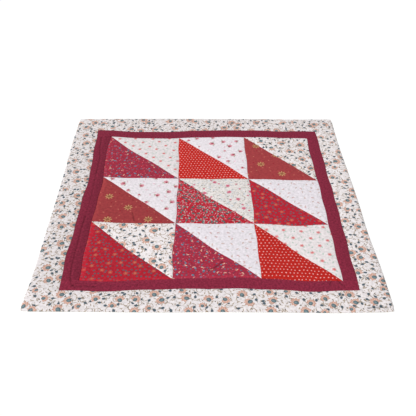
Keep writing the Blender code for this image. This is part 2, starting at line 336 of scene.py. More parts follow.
def laid(u, v):
    """Where places on the drafted pattern lie on the finished topper, seen from above."""
    u = np.asarray(u, dtype=float)
    v = np.asarray(v, dtype=float)
    column, across = cell_of(u)
    row, along = cell_of(v)
    left = line_drift(LINES_TO_FRONT, column, v, True)
    right = line_drift(LINES_TO_FRONT, column + 1, v, True)
    front = line_drift(LINES_TO_RIGHT, row, u, False)
    back = line_drift(LINES_TO_RIGHT, row + 1, u, False)
    bow = diagonal_bow(column - FIRST_BLOCK_LINE, row - FIRST_BLOCK_LINE, across, along) / math.sqrt(2)

    # The small sideways swing that hand-guided seams have
    turn = 2 * math.pi * CELL / WANDER_LENGTH
    inside = np.clip(from_rim(u, v) / OUTER_CELLS, 0.0, 1.0) * WANDER
    swing_x = np.sin(turn * v + 0.9) + 0.5 * np.sin(0.53 * turn * v + 0.31 * turn * u)
    swing_y = np.sin(turn * u + 2.1) + 0.5 * np.sin(0.61 * turn * u - 0.27 * turn * v + 1.0)

    # The corners are drawn in a little, so that they are rounded
    from_corner = np.minimum(u, SIDE_CELLS - u) + np.minimum(v, SIDE_CELLS - v)
    pull = CORNER_ROUND * np.maximum(0.0, 1.0 - from_corner / CORNER_CELLS)
    pull_x = np.where(u < SIDE_CELLS / 2, pull, -pull)
    pull_y = np.where(v < SIDE_CELLS / 2, pull, -pull)

    x = (u - SIDE_CELLS / 2) * CELL + left + (right - left) * across + bow + swing_x * inside + pull_x
    y = (v - SIDE_CELLS / 2) * CELL + front + (back - front) * along + bow + swing_y * inside + pull_y
    return x, y


def box_middle():
    """The middle of the laid outline's box, which is the frame's origin."""
    steps = np.linspace(0.0, SIDE_CELLS, OUTLINE_STEPS)
    low = np.zeros_like(steps)
    high = low + SIDE_CELLS
    x, y = laid(np.concatenate([steps, steps, low, high]), np.concatenate([low, high, steps, steps]))
    return (x.min() + x.max()) / 2, (y.min() + y.max()) / 2


MIDDLE = box_middle()


def block_pieces():
    """The eighteen triangles, two to a block."""
    pieces = []
    for block in BLOCK_FABRICS:
        u = LINES[FIRST_BLOCK_LINE + block.column - 1]
        v = LINES[FIRST_BLOCK_LINE + BLOCKS - block.row]
        name = f"patch_r{block.row}c{block.column}"
        pieces.append(Piece(f"{name}_dark", block.dark, u, v, BLOCK_CELLS, BLOCK_CELLS, "dark"))
        pieces.append(Piece(f"{name}_light", block.light, u, v, BLOCK_CELLS, BLOCK_CELLS, "light"))
    return pieces


def border_pieces(name, fabric, start, width):
    """Four strips round a square: the back and front ones run past the ends of the side ones."""
    stop = SIDE_CELLS - start - width
    full = SIDE_CELLS - 2 * start
    short = full - 2 * width
    return [
        Piece(f"{name}_back", fabric, start, stop, full, width, "whole"),
        Piece(f"{name}_front", fabric, start, start, full, width, "whole"),
        Piece(f"{name}_left", fabric, start, start + width, width, short, "whole"),
        Piece(f"{name}_right", fabric, stop, start + width, width, short, "whole"),
    ]


def sides_of(piece):
    """The sides of a piece: four of a strip, three of a triangle."""
    slant = Vector((1.0, 1.0)).normalized()
    left = Side("left", Vector((0, 0)), Vector((1, 0)))
    right = Side("right", Vector((piece.width, 0)), Vector((-1, 0)))
    front = Side("front", Vector((0, 0)), Vector((0, 1)))
    back = Side("back", Vector((0, piece.depth)), Vector((0, -1)))
    corner = Vector((piece.width, 0))
    if piece.half == "dark":
        return [left, front, Side("diagonal", corner, -slant)]
    if piece.half == "light":
        return [right, back, Side("diagonal", corner, slant)]
    return [left, right, front, back]


def from_line(points, x, y):
    """How far each place lies from a line through these points, which are in mm."""
    nearest = np.full_like(x, np.inf)
    for start, end in zip(points, points[1:]):
        start = np.array(start) * MILLIMETRE
        run = np.array(end) * MILLIMETRE - start
        share = ((x - start[0]) * run[0] + (y - start[1]) * run[1]) / (run ** 2).sum()
        share = np.clip(share, 0.0, 1.0)
        off = np.hypot(x - start[0] - share * run[0], y - start[1] - share * run[1])
        nearest = np.minimum(nearest, off)
    return nearest


def from_creases(x, y):
    """How far each place lies from the nearest sharp crease."""
    nearest = np.full_like(x, np.inf)
    for crease in CREASES:
        if crease.half_width < SOFT_HALF_WIDTH:
            nearest = np.minimum(nearest, from_line(crease.points, x, y))
    return nearest


def creased(x, y):
    """How far the creases draw the cloth down at each place on the topper, and the light left there by
    their painted shade.
    """
    depth = np.zeros_like(x)
    light = np.ones_like(x)
    for crease in CREASES:
        off = from_line(crease.points, x, y) / (crease.half_width * MILLIMETRE)
        share = np.exp(-off ** 2)
        depth += crease.depth * MILLIMETRE * share
        # Painted shade: the colour in and beside a crease is darkened.
        light *= 1 - crease.dark * share
    return depth, light


def on_axes(x, y, laid_down):
    """Places on the topper, on the own axes of a motif or a cut cloth that is laid down on it."""
    turn = math.radians(laid_down.turn)
    x = x - laid_down.x * MILLIMETRE
    y = y - laid_down.y * MILLIMETRE
    return x * math.cos(turn) + y * math.sin(turn), y * math.cos(turn) - x * math.sin(turn)


def from_chart(x, y, chart):
    """Where each place lies from the nearest motif, on the motif's own axes, and 1 where it is near one."""
    spots = np.zeros((len(x), 3))
    nearest = np.full(len(x), np.inf)
    second = np.full(len(x), np.inf)
    for motif in itertools.starmap(Motif, chart.motifs):
        own_x, own_y = on_axes(x, y, motif)
        distance = np.hypot(own_x, own_y)
        nearer = distance < nearest
        second = np.where(nearer, nearest, np.minimum(second, distance))
        nearest = np.minimum(nearest, distance)
        spots[nearer, 0] = own_x[nearer] / motif.size
        spots[nearer, 1] = own_y[nearer] / motif.size
    spots[:, 2] = (nearest < chart.reach) & (second - nearest > MOTIFS_APART)
    return spots


def made_finer(flat, piece):
    """Cuts the mesh of a piece finer where a crease crosses it."""
    spots = np.array([vert.co[:2] for vert in flat.verts])
    x, y = laid(piece.u + spots[:, 0], piece.v + spots[:, 1])
    reach = from_creases(x - MIDDLE[0], y - MIDDLE[1])
    near = set(np.nonzero(reach < FINER_REACH)[0])
    flat.verts.index_update()
    edges = [edge for edge in flat.edges if near.issuperset(vert.index for vert in edge.verts)]
    if edges:
        bmesh.ops.subdivide_edges(flat, edges=edges, cuts=1, use_grid_fill=True)


def flat_solid(piece):
    """A piece's outline as a fine flat mesh, with more rows beside its seams, and a copy of it 1 below."""
    columns = round(piece.width * CELL / GRID)
    rows = round(piece.depth * CELL / GRID)
    flat = bmesh.new()
    bmesh.ops.create_grid(flat, x_segments=columns, y_segments=rows, size=0.5)
    for vert in flat.verts:
        vert.co = ((vert.co.x + 0.5) * piece.width, (vert.co.y + 0.5) * piece.depth, 0.0)
    for side in sides_of(piece):
        for step in (0.0,) + SEAM_STEPS:
            if step == 0.0 and side.name != "diagonal":
                continue
            point = side.point + side.inward * step / CELL
            bmesh.ops.bisect_plane(
                flat, geom=flat.verts[:] + flat.edges[:] + flat.faces[:], dist=1e-5,
                plane_co=(point.x, point.y, 0.0), plane_no=(side.inward.x, side.inward.y, 0.0),
                clear_inner=step == 0.0)
    made_finer(flat, piece)
    copied = bmesh.ops.extrude_face_region(flat, geom=flat.faces[:])["geom"]
    for item in copied:
        if isinstance(item, bmesh.types.BMVert):
            item.co.z = -1.0
    bmesh.ops.recalc_face_normals(flat, faces=flat.faces[:])
    return flat


def trimmed(piece, a, b):
    """Places in a piece, drawn in so that the piece stops half the seen gap short of each seam line."""
    trim = SEEN_GAP / 2 / CELL
    if piece.half == "whole":
        half_width = piece.width / 2
        half_depth = piece.depth / 2
        a = half_width + (a - half_width) * (1 - trim / half_width)
        return a, half_depth + (b - half_depth) * (1 - trim / half_depth)
    inner_radius = piece.width * (1 - 1 / math.sqrt(2))
    centre = inner_radius if piece.half == "dark" else piece.width - inner_radius
    shrink = 1 - trim / inner_radius
    return centre + (a - centre) * shrink, centre + (b - centre) * shrink


def smooth_step(value):
    """A soft rise from 0 to 1 as the value goes from 0 to 1."""
    value = np.clip(value, 0.0, 1.0)
    return value * value * (3 - 2 * value)


def fold_over(distance, run):
    """1 where a cloth dives into a seam or over an edge, and 0 from run away, on a quarter circle."""
    near = np.clip(1.0 - distance / run, 0.0, 1.0)
    return 1.0 - np.sqrt(1.0 - near ** 2)


def seam_strength(piece, side, a, b):
    """How hard each place's nearest stretch of a side is quilted down: less at a strip's own joins."""
    strong = np.ones_like(a)
    if piece.half != "whole":
        return strong
    if piece.width < piece.depth and side.name in ("front", "back"):
        return strong * JOIN_STRENGTH
    inner_side = "front" if piece.v > SIDE_CELLS / 2 else "back"
    if piece.width > piece.depth and side.name == inner_side:
        from_end = np.minimum(a, piece.width - a) - piece.depth
        return JOIN_STRENGTH + (1 - JOIN_STRENGTH) * smooth_step(from_end / JOIN_FADE_CELLS + 0.5)
    return strong


def uneven(along, length, seed):
    """A swing from -1 to 1 with no plain repeat."""
    turn = 2 * math.pi * along / length
    return (np.sin(turn + seed) + 0.7 * np.sin(0.618 * turn + 2.3 * seed)
            + 0.5 * np.sin(1.73 * turn + 1.1 * seed)) / 2.2


def from_side(piece, side, a, b):
    """How far each place in a piece is from one of its sides, and how far along it, in metres."""
    across = (a - side.point.x) * side.inward.x + (b - side.point.y) * side.inward.y
    along = (b - side.point.y) * side.inward.x - (a - side.point.x) * side.inward.y
    return np.maximum(across, 0.0) * CELL, along * CELL


def lapped(piece, a, b):
    """How far pressed seam allowances raise each place of a piece, the piece's shade with painted light on
    the raised band, and how they wear it.
    """
    raised = np.zeros_like(a)
    light = np.full_like(a, SHADES.get(piece.name, 1.0))
    worn = np.zeros_like(a)
    sides = {side.name: side for side in sides_of(piece)}
    for lap in LAPS:
        if lap.name == piece.name:
            distance, along = from_side(piece, sides[lap.side], a, b)
            width = lap.width * MILLIMETRE * (1.0 + LAP_UNEVEN * uneven(along, LAP_UNEVEN_LENGTH, 0.4))
            share = smooth_step((width - distance) / LAP_EDGE + 0.5)
            # Painted light: the colour of the raised band is drawn lighter.
            light *= 1.0 + (lap.light - 1.0) * share * (raised < 0.5)
            raised = np.maximum(raised, share)
            worn = np.maximum(worn, lap.worn * share)
    return LAP_RISE * raised, light, worn


def quilted_heights(piece, a, b):
    """The heights of a piece's face and underside above the surface that it lies on."""
    u = piece.u + a
    v = piece.v + b
    x = u * CELL
    y = v * CELL
    drawn, ditch, under, pucker = np.zeros((4,) + a.shape)
    from_edge = np.maximum(from_rim(u, v), 0.0) * CELL
    for number, side in enumerate(sides_of(piece)):
        if is_outer(piece, side):
            continue
        distance, along = from_side(piece, side, a, b)
        strength = seam_strength(piece, side, a, b)
        drawn = np.maximum(drawn, strength * np.exp(-distance / PUFF_RUN))
        ditch = np.maximum(ditch, strength * fold_over(distance, DITCH_RUN))
        under = np.maximum(under, strength * np.exp(-distance / UNDER_RUN))
        seed = 1.7 * number + 0.37 * piece.u + 0.23 * piece.v
        pucker += strength * np.exp(-distance / PUCKER_RUN) * uneven(along, PUCKER_LENGTH, seed)

    turn = 2 * math.pi / RIPPLE_LENGTH
    ripple = np.sin(turn * x + 1.3 * np.sin(turn * y)) + np.sin(1.37 * turn * y - 0.6 * turn * x)
    crumple = uneven(x + 0.4 * y, CRUMPLE_LENGTH, 0.7) * uneven(y - 0.3 * x, 1.3 * CRUMPLE_LENGTH, 1.9)
    full = 1.0 - drawn
    height = SEAM_THICKNESS + PUFF * full + RIPPLE * full * ripple
    height += PUCKER * pucker + CRUMPLE * full * crumple + lapped(piece, a, b)[0] - DITCH * ditch
    height = EDGE_THICKNESS + (height - EDGE_THICKNESS) * (1.0 - np.exp(-from_edge / EDGE_RUN))

    knife = EDGE_THICKNESS / 2
    rolled = fold_over(from_edge, EDGE_ROLL)
    height = height + (knife - height) * rolled
    underside = UNDER_EDGE * knife * rolled + UNDER_DITCH * under * (1.0 - rolled)
    return height, underside


def is_outer(piece, side):
    """Whether a side of a piece is the topper's own edge."""
    if side.name == "diagonal":
        return False
    point = Vector((piece.u, piece.v)) + side.point
    return ((side.name == "left" and point.x == 0) or (side.name == "right" and point.x == SIDE_CELLS)
            or (side.name == "front" and point.y == 0) or (side.name == "back" and point.y == SIDE_CELLS))


def store(mesh, name, kind, values):
    """Keeps values for the vertices of a mesh, for its material to read."""
    kept = mesh.attributes.new(name, kind, "POINT")
    kept.data.foreach_set("value" if kind == "FLOAT" else "vector", values.ravel())


def quilted_piece(piece):
    """The detailed cloth of one cut piece, as a closed mesh."""
    solid = flat_solid(piece)
    mesh = bpy.data.meshes.new(f"quilted_{piece.name}")
    solid.to_mesh(mesh)
    solid.free()

    places = np.empty(len(mesh.vertices) * 3)
    mesh.vertices.foreach_get("co", places)
    drafted_a, drafted_b, level = places.reshape(-1, 3).T
    below = level < -0.5
    a, b = trimmed(piece, drafted_a, drafted_b)
    height, underside = quilted_heights(piece, drafted_a, drafted_b)
    x, y = laid(piece.u + a, piece.v + b)
    x -= MIDDLE[0]
    y -= MIDDLE[1]
    sunk, light_left = creased(x, y)
    z = np.where(below, underside, height - sunk)
    mesh.vertices.foreach_set("co", np.column_stack([x, y, z]).ravel())

    _, light, worn = lapped(piece, a, b)
    on_cloth = on_axes(x, y, CUTS.get(piece.name, UNCUT))
    store(mesh, "cloth", "FLOAT_VECTOR", np.column_stack([*on_cloth, worn]))
    # Kept for the material: each piece's tone with the painted light of its raised laps and the painted
    # shade of the creases; plain 1 underneath
    store(mesh, "shade", "FLOAT", np.where(below, 1.0, light * light_left))
    store(mesh, "under", "FLOAT", below.astype(float))
    for chart in CHARTS:
        if piece.name in chart.pieces:
            store(mesh, "motif", "FLOAT_VECTOR", from_chart(x, y, chart))
            store(mesh, "charted", "FLOAT", np.ones(len(x)))
    mesh.shade_smooth()
    mesh.update()

    cloth_piece = bpy.data.objects.new(f"quilted_{piece.name}", mesh)
    bpy.context.scene.collection.objects.link(cloth_piece)
    return cloth_piece


# The brightness that the studio's light gives white cloth, which the inks are set against
EXPOSED = 0.93

# Threads of the cotton: their pitch, and how the weave and its thicker threads show
THREAD = 0.00045
SLUB = 0.12
SLUB_WIDTH = 0.0009
SLUB_LENGTH = 0.011
SLUB_RISE = 2.0
WEAVE_HEIGHT = 0.00002
WEAVE_STRENGTH = 0.6
COTTON_ROUGHNESS = 0.88
COTTON_GLOSS = 0.18
COTTON_SHEEN = 0.02
SHEEN_ROUGHNESS = 0.5
PATCHY = 0.55
PATCH_SIZE = 0.0070
WOBBLE_SIZE = 0.004
WOBBLE = 0.0018

# The backing cloth: its two colours and how far apart they drift
BACKING = (222, 216, 204)
BACKING_PALE = (234, 229, 218)
BACKING_DRIFT = 0.02


class Graph:
    """Writes a material's node graph: each call adds a node and gives back what comes out of it."""

    def __init__(self, tree):
        self.tree = tree

    def add(self, kind, inputs, **settings):
        node = self.tree.nodes.new(kind)
        for name, value in settings.items():
            setattr(node, name, value)
        for key, value in inputs.items():
            if isinstance(value, bpy.types.NodeSocket):
                self.tree.links.new(value, node.inputs[key])
            else:
                node.inputs[key].default_value = value
        return node

    def maths(self, operation, *values):
        return self.add("ShaderNodeMath", dict(enumerate(values)), operation=operation).outputs[0]

    def plus(self, one, other):
        return self.maths("ADD", one, other)

    def minus(self, one, other):
        return self.maths("SUBTRACT", one, other)

    def times(self, one, other):
        return self.maths("MULTIPLY", one, other)

    def reach(self, x, y):
        return self.maths("SQRT", self.plus(self.times(x, x), self.times(y, y)))

    def vector(self, operation, *values):
        return self.add("ShaderNodeVectorMath", dict(enumerate(values)), operation=operation).outputs[0]

    def parts(self, vector):
        return tuple(self.add("ShaderNodeSeparateXYZ", {0: vector}).outputs)

    def joined(self, x, y, z=0.0):
        return self.add("ShaderNodeCombineXYZ", {0: x, 1: y, 2: z}).outputs[0]

    def noise(self, place, size, detail=2.0):
        """A soft drift over the cloth, as a number and as a colour."""
        inputs = {"Vector": place, "Scale": 1.0 / size, "Detail": detail}
        return tuple(self.add("ShaderNodeTexNoise", inputs, noise_dimensions="2D").outputs)

    def mixed(self, share, below, above):
        return self.add("ShaderNodeMix", {0: share, 6: below, 7: above}, data_type="RGBA").outputs[2]

    def ranged(self, value, low, high):
        """A soft rise from 0 at low to 1 at high."""
        inputs = {"Value": value, "From Min": low, "From Max": high}
        return self.add("ShaderNodeMapRange", inputs, interpolation_type="SMOOTHSTEP").outputs[0]

    def stored(self, name):
        """What the mesh keeps under a name, as a vector and as a number."""
        node = self.add("ShaderNodeAttribute", {}, attribute_name=name, attribute_type="GEOMETRY")
        return node.outputs["Vector"], node.outputs["Fac"]


def ink(red, green, blue):
    """A cloth colour from its screen values of 0 to 255 under the studio's light."""
    return tuple(EXPOSED * ((c / 255 + 0.055) / 1.055) ** 2.4 for c in (red, green, blue)) + (1.0,)


def bent(graph, place, size, reach):
    """The same place moved about, by up to half of reach, so that what is printed looks hand drawn."""
    swirl = graph.noise(place, size, 1.0)[1]
    swirl = graph.vector("MULTIPLY", graph.vector("SUBTRACT", swirl, (0.5, 0.5, 0.5)), (reach, reach, 0.0))
    return graph.vector("ADD", place, swirl)


def mottled(graph, place, base, other, size):
    """A ground that drifts between two inks."""
    return graph.mixed(graph.noise(place, size)[0], ink(*base), ink(*other))


# A motif's own place: where a point of the cloth lies from the nearest motif's middle, in metres,
# and two random numbers that are the same all over that motif
Mark = namedtuple("Mark", "graph x y chance other")


class Cloth:
    """A cotton that is being printed: the place on it, its plain ground and its colour so far."""

    def __init__(self, graph, place):
        self.graph = graph
        self.place = place
        self.ground = None
        self.colour = None

    def dyed(self, base, other, size):
        """Gives the cloth its ground."""
        self.ground = mottled(self.graph, self.place, base, other, size)
        self.colour = self.ground

    def rows(self, pitch, jitter, start=(0.0, 0.0), brick=0.5, place=None):
        """Motifs strewn over the cloth in rows, each row set over by brick of a pitch."""
        graph = self.graph
        x, y, _ = graph.parts(place or self.place)
        pitch_x, pitch_y = (length * MILLIMETRE for length in pitch)
        across = graph.maths("DIVIDE", graph.minus(x, start[0] * MILLIMETRE), pitch_x)
        along = graph.maths("DIVIDE", graph.minus(y, start[1] * MILLIMETRE), pitch_y)
        slanted = graph.minus(across, graph.times(along, brick))
        cells = graph.add(
            "ShaderNodeTexVoronoi",
            {"Vector": graph.joined(slanted, along), "Scale": 1.0, "Randomness": jitter},
            voronoi_dimensions="2D")
        near_x, near_y, _ = graph.parts(cells.outputs["Position"])
        chance, other, _ = graph.parts(cells.outputs["Color"])
        off_y = graph.minus(along, near_y)
        off_x = graph.plus(graph.minus(slanted, near_x), graph.times(off_y, brick))
        return Mark(graph, graph.times(off_x, pitch_x), graph.times(off_y, pitch_y), chance, other)

    def strewn(self, *pattern, **more):
        """The same rows, with each motif turned its own way."""
        mark = self.rows(*pattern, **more)
        return turned(mark, self.graph.times(mark.other, 2 * math.pi))

    def charted(self):
        """The nearest motif of the chart that the mesh keeps, and 1 where it is near enough to be drawn."""
        graph = self.graph
        spot, _ = graph.stored("motif")
        drawn_off = graph.vector("SUBTRACT", self.place, graph.stored("cloth")[0])
        x, y, _ = graph.parts(graph.vector("ADD", spot, drawn_off))
        near = graph.parts(spot)[2]
        return Mark(graph, x, y, 0.5, 0.5), graph.maths("GREATER_THAN", near, 0.5)

    def charted_or(self, strewn):
        """Motifs from a chart on the pieces that have one, and strewn motifs on the others."""
        graph = self.graph
        spots, near = self.charted()
        known = graph.maths("GREATER_THAN", graph.stored("charted")[1], 0.5)

        def chosen(one, other):
            return graph.maths("MULTIPLY_ADD", graph.minus(other, one), known, one)

        mark = strewn._replace(
            x=chosen(strewn.x, spots.x), y=chosen(strewn.y, spots.y), chance=chosen(strewn.chance, 0.5))
        return mark, graph.maths("MAXIMUM", near, graph.minus(1.0, known))

    def strew(self, shape, sizes, colour, pattern, share=1.0):
        """Prints a shape of these sizes in one ink, strewn in this pattern: all of it or a share."""
        mark = self.strewn(*pattern)
        self.stamp(shape(mark, *sizes), colour, mark, share)

    def stamp(self, mask, colour, mark=None, share=1.0, within=None):
        """Prints one ink over the colours below: on every motif, or on a share of them."""
        if within is not None:
            mask = self.graph.times(mask, within)
        if mark is not None:
            mask = self.graph.times(mask, self.graph.maths("LESS_THAN", mark.chance, share))
        self.colour = self.graph.mixed(mask, self.colour, ink(*colour))


def turned(mark, angle):
    """The same motif with its own axes turned."""
    graph = mark.graph
    cosine = graph.maths("COSINE", angle)
    sine = graph.maths("SINE", angle)
    return mark._replace(
        x=graph.plus(graph.times(mark.x, cosine), graph.times(mark.y, sine)),
        y=graph.minus(graph.times(mark.y, cosine), graph.times(mark.x, sine)))


def moved(mark, x, y):
    """A shape of the motif whose middle is x and y mm from the motif's own."""
    return mark._replace(
        x=mark.graph.minus(mark.x, x * MILLIMETRE), y=mark.graph.minus(mark.y, y * MILLIMETRE))


def filled(graph, outside, softness):
    """1 inside a shape and 0 outside it, from how far outside its edge a place lies."""
    return graph.ranged(outside, softness * MILLIMETRE, -softness * MILLIMETRE)


def oval(mark, half_length, half_width, softness=0.5):
    """A spot, longer along the motif's own x."""
    graph = mark.graph
    reach = graph.reach(graph.maths("DIVIDE", mark.x, half_length / half_width), mark.y)
    return filled(graph, graph.minus(reach, half_width * MILLIMETRE), softness)


def petals(mark, radius, count, depth, softness=0.5):
    """A flower of count petals, whose notches reach in by a share, depth, of the radius."""
    graph = mark.graph
    wave = graph.maths("COSINE", graph.times(graph.maths("ARCTAN2", mark.y, mark.x), float(count)))
    radius *= MILLIMETRE
    edge = graph.maths("MULTIPLY_ADD", wave, radius * depth / 2, radius * (1 - depth / 2))
    return filled(graph, graph.minus(graph.reach(mark.x, mark.y), edge), softness)


def bow(mark, radius, half_width, softness=0.4):
    """A bent stroke: the right-hand part of a circle."""
    graph = mark.graph
    radius *= MILLIMETRE
    off = graph.maths("ABSOLUTE", graph.minus(graph.reach(mark.x, mark.y), radius))
    line = filled(graph, graph.minus(off, half_width * MILLIMETRE), softness)
    return graph.times(line, graph.ranged(mark.x, 0.0, radius * 0.6))


def leaf(mark, half_length, half_width, softness=0.4):
    """A leaf, pointed at both ends, along the motif's own x."""
    graph = mark.graph
    along = graph.maths("DIVIDE", mark.x, half_length * MILLIMETRE)
    edge = graph.times(graph.minus(1.0, graph.times(along, along)), half_width * MILLIMETRE)
    return filled(graph, graph.minus(graph.maths("ABSOLUTE", mark.y), edge), softness)


def cotton(name, printed):
    """A quilting cotton with the colours that printed(cloth) gives."""
    material = bpy.data.materials.new(name)
    material.use_nodes = True
    graph = Graph(material.node_tree)
    place, _ = graph.stored("cloth")
    cloth = Cloth(graph, bent(graph, place, WOBBLE_SIZE, WOBBLE))
    printed(cloth)
    x, y, worn = graph.parts(place)
    colour = graph.mixed(worn, cloth.colour, cloth.ground)
    backing = mottled(graph, place, BACKING, BACKING_PALE, BACKING_DRIFT)
    underside = graph.maths("GREATER_THAN", graph.stored("under")[1], 0.5)
    colour = graph.mixed(underside, colour, backing)

    warp, _ = graph.noise(graph.vector("DIVIDE", place, (SLUB_WIDTH, SLUB_LENGTH, 1.0)), 1.0)
    weft, _ = graph.noise(graph.vector("DIVIDE", place, (SLUB_LENGTH, SLUB_WIDTH, 1.0)), 1.0)
    slub = graph.plus(warp, weft)
    patchy, _ = graph.noise(place, PATCH_SIZE, 3.0)
    depth = graph.maths("MULTIPLY_ADD", slub, SLUB, 1 - SLUB - PATCHY / 2)
    # The colour is multiplied by the kept shade, which carries painted light on raised laps and painted
    # shade in creases.
    depth = graph.times(graph.maths("MULTIPLY_ADD", patchy, PATCHY, depth), graph.stored("shade")[1])
    colour = graph.vector("MULTIPLY", colour, graph.joined(depth, depth, depth))

    over = graph.maths("SINE", graph.times(x, 2 * math.pi / THREAD))
    under = graph.maths("SINE", graph.times(y, 2 * math.pi / THREAD))
    weave = graph.plus(graph.times(over, under), graph.times(slub, SLUB_RISE))
    relief = {"Strength": WEAVE_STRENGTH, "Distance": WEAVE_HEIGHT, "Height": weave}
    bump = graph.add("ShaderNodeBump", relief).outputs[0]

    shader = material.node_tree.nodes["Principled BSDF"]
    shader.inputs["Roughness"].default_value = COTTON_ROUGHNESS
    shader.inputs["Sheen Weight"].default_value = COTTON_SHEEN
    shader.inputs["Sheen Roughness"].default_value = SHEEN_ROUGHNESS
    shader.inputs["Specular IOR Level"].default_value = COTTON_GLOSS
    graph.tree.links.new(colour, shader.inputs["Base Color"])
    graph.tree.links.new(bump, shader.inputs["Normal"])
    return material


def burgundy_floral(cloth):
    """Small blue flowers and cream sprigs on burgundy."""
    cloth.dyed((138, 24, 50), (184, 56, 78), 0.005)
    cloth.strew(oval, (2.8, 1.8, 0.8), (178, 20, 42), ((14, 12), 0.9, (5, 7)), 0.5)
    cloth.strew(oval, (2.2, 1.4), (98, 60, 76), ((9, 8), 0.95, (3, 1)), 0.65)
    cloth.strew(oval, (2.1, 1.3), (206, 112, 122), ((13, 11), 0.9, (7, 2)), 0.6)
    small = cloth.rows((16, 14), 0.95, (1, 8))
    cloth.stamp(oval(small, 2.4, 2.1, 0.7), (98, 104, 122), small, 0.6)
    sprigs = cloth.strewn((24, 20), 0.95, (8, 3))
    cloth.stamp(leaf(sprigs, 4.3, 1.5), (216, 162, 146), sprigs, 0.5)
    buds = moved(sprigs, 3.2, 2.2)
    cloth.stamp(oval(buds, 1.5, 1.3), (232, 196, 168), sprigs, 0.5)
    flowers = cloth.rows((30, 26), 0.85, (0, 10))
    cloth.stamp(petals(flowers, 3.6, 5, 0.3, 0.7), (92, 126, 150), flowers, 0.75)
    cloth.stamp(oval(flowers, 1.0, 1.0), (142, 164, 182), flowers, 0.5)


def red_pin_dot(cloth):
    """Pale pin dots in staggered rows on bright red."""
    cloth.dyed((156, 14, 16), (218, 46, 34), 0.0055)
    dots = cloth.rows((10.2, 11.4), 0.10, place=bent(cloth.graph, cloth.place, 0.035, 0.007))
    cloth.stamp(oval(dots, 2.9, 2.9, 1.1), (226, 92, 86), within=0.22)
    cloth.stamp(oval(dots, 1.6, 1.6, 0.4), (248, 184, 182))


def rust_star_flower(cloth):
    """Gold star flowers of eight petals on rust red."""
    cloth.dyed((146, 48, 56), (166, 66, 66), 0.009)
    cloth.strew(oval, (2.6, 1.7, 0.8), (192, 106, 92), ((31, 26), 0.8, (12, 6)), 0.8)
    cloth.strew(oval, (2.6, 1.7, 0.8), (150, 22, 40), ((34, 29), 0.9, (3, 16)), 0.5)
    stars = cloth.rows((118, 54), 0.0, (-294.5, -4.6), 0.462)
    cloth.stamp(petals(stars, 14.2, 8, 0.62, 0.7), (152, 98, 66))
    cloth.stamp(petals(stars, 13.4, 8, 0.84, 0.7), (200, 156, 108))
    cloth.stamp(oval(stars, 5.2, 5.2, 1.6), (142, 92, 62))


def red_leaf(cloth):
    """Grey leaves, curls and pale specks, close together on red."""
    cloth.dyed((160, 14, 30), (204, 44, 62), 0.005)
    cloth.strew(bow, (3.4, 0.8), (206, 112, 134), ((10, 9), 0.9, (4, 4)), 0.85)
    cloth.strew(leaf, (2.9, 1.5), (186, 172, 170), ((8.4, 7.6), 0.95, (0, 3)), 0.6)
    leaves = cloth.strewn((19, 17), 0.9, (5, 9))
    cloth.stamp(leaf(leaves, 7.0, 3.4), (88, 86, 88), leaves, 0.88)
    cloth.stamp(leaf(leaves, 5.6, 0.9, 0.3), (150, 154, 148), leaves, 0.7, within=0.6)
    cloth.strew(oval, (2.4, 1.7), (160, 190, 180), ((17, 15), 0.9, (6, 1)), 0.6)


def crimson_dot(cloth):
    """Grey dots and peach florets on crimson."""
    cloth.dyed((152, 14, 36), (198, 40, 57), 0.0055)
    dots = cloth.rows((12.5, 11.5), 0.7)
    cloth.stamp(oval(dots, 2.9, 2.9, 0.8), (108, 84, 94), dots, 0.94)
    florets = cloth.strewn((37, 31), 0.65, (9, 4))
    cloth.stamp(petals(florets, 6.8, 5, 0.28, 1.6), (188, 74, 66))
    cloth.stamp(oval(florets, 3.0, 2.4, 1.4), (192, 110, 88))


def ivory_floret(cloth):
    """Coral florets and mint leaves in rows on ivory."""
    cloth.dyed((226, 218, 219), (238, 231, 232), 0.009)
    cloth.strew(oval, (3.6, 1.9, 1.2), (204, 210, 206), ((20, 17), 0.8, (3, 8)), 0.8)
    leaves = cloth.rows((46.3, 28.3), 0.3, (29, 2), 0.42)
    for x, y, turn in ((-5.0, 4.0, 1.9), (4.0, -4.0, 1.1)):
        tilted = turned(moved(leaves, x, y), turn)
        cloth.stamp(oval(tilted, 3.8, 1.9, 1.0), (184, 200, 190))
    florets = cloth.rows((46.3, 28.3), 0.16, (6, 2), 0.42)
    sprays = turned(moved(florets, 5.6, -4.6), -0.7)
    cloth.stamp(leaf(sprays, 4.2, 2.1), (176, 206, 192))
    cloth.stamp(petals(florets, 6.2, 5, 0.25, 1.1), (226, 160, 160))
    cloth.stamp(oval(florets, 3.0, 2.5, 1.3), (210, 112, 114))


def white_rosebud(cloth):
    """Pink roses with grey-green leaves on white."""
    cloth.dyed((228, 221, 226), (238, 232, 237), 0.009)
    roses, near = cloth.charted()
    clear = cloth.graph.minus(1.0, near)
    cloth.strew(leaf, (4.0, 1.3, 0.7), (207, 213, 209), ((27, 23), 0.8, (9, 3)), 0.75)
    buds = cloth.strewn((38, 33), 0.8, (20, 15))
    cloth.stamp(leaf(moved(buds, -4.0, 0.6), 5.0, 1.2), (200, 200, 190), buds, 0.8, within=clear)
    cloth.stamp(leaf(buds, 4.8, 2.4), (228, 190, 202), buds, 0.8, within=clear)
    for x, y, turn in ((-7.5, 3.5, 0.9), (-6.0, 8.0, -0.9), (-3.0, -7.4, 0.7)):
        spray = turned(moved(roses, x, y), turn)
        cloth.stamp(leaf(spray, 4.8, 2.2, 0.7), (180, 184, 168), within=near)
    cloth.stamp(petals(roses, 7.8, 5, 0.16, 0.9), (218, 154, 164), within=near)
    cloth.stamp(oval(moved(roses, -2.0, -1.8), 4.8, 3.6, 1.0), (188, 96, 112), within=near)
    cloth.stamp(oval(moved(roses, -3.2, -2.6), 3.0, 2.0, 0.8), (146, 58, 76), within=near)


